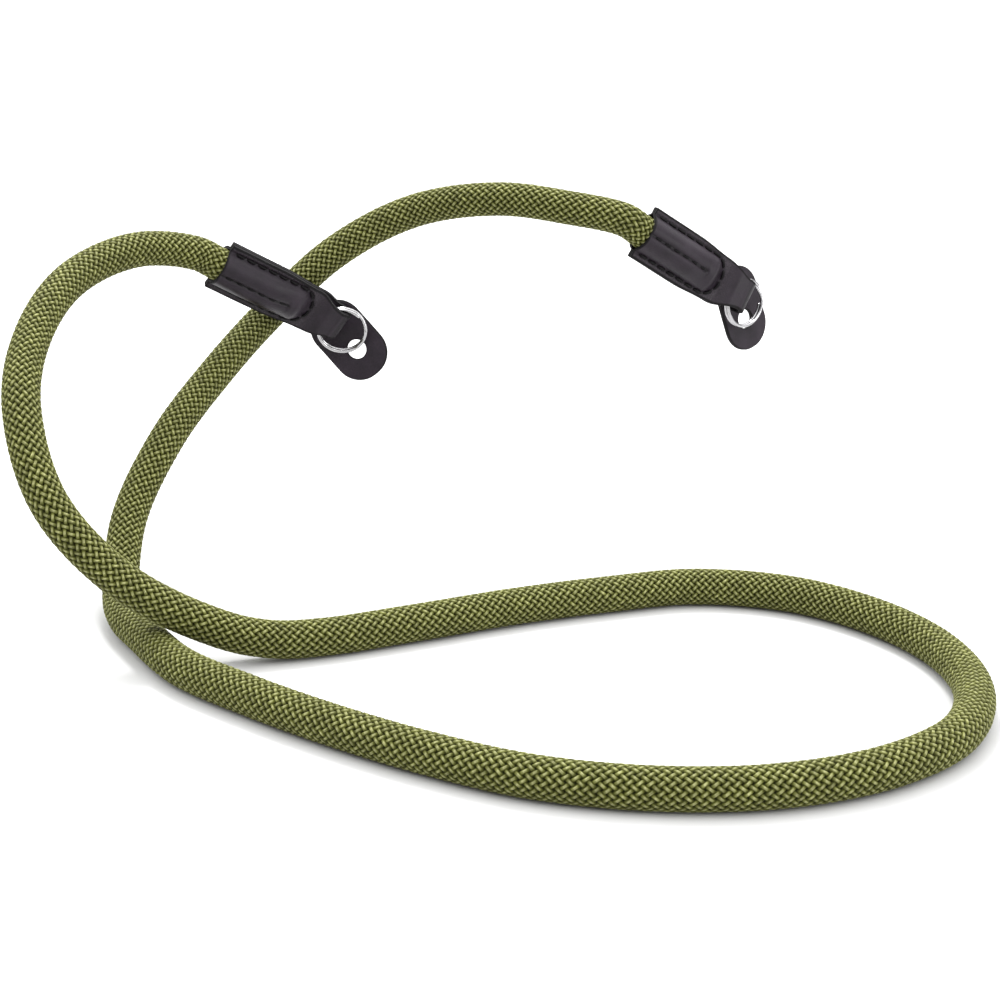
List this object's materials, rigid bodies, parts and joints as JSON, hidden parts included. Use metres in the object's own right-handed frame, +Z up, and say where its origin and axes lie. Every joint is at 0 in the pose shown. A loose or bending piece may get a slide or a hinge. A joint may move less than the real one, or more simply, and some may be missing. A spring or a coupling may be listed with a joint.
{
  "type": "camera neck strap",
  "caption": "Neck strap of thick braided rope with stitched leather ends, split rings and leather lug pads, its ends held up at the lugs and its middle lying in a loop.",
  "frame": {"origin": "centre of the left split ring, where the left lug holds it", "axes": "+Z up, +X from the left split ring towards the right one, +Y away from the viewer, with the loop of rope lying on the near side"},
  "size_m": [0.2487, 0.2287, 0.1062],
  "materials": {
    "rope": "matt olive braid, lighter where the yarn catches the light",
    "leather": "smooth satin black leather",
    "steel": "bright nickel-plated spring steel"
  },
  "bodies": {
    "root": {"rope": "rope", "left_leather_end": "leather", "left_split_ring": "steel", "left_pad": "leather", "right_leather_end": "leather", "right_split_ring": "steel", "right_pad": "leather"}
  },
  "joints": []
}
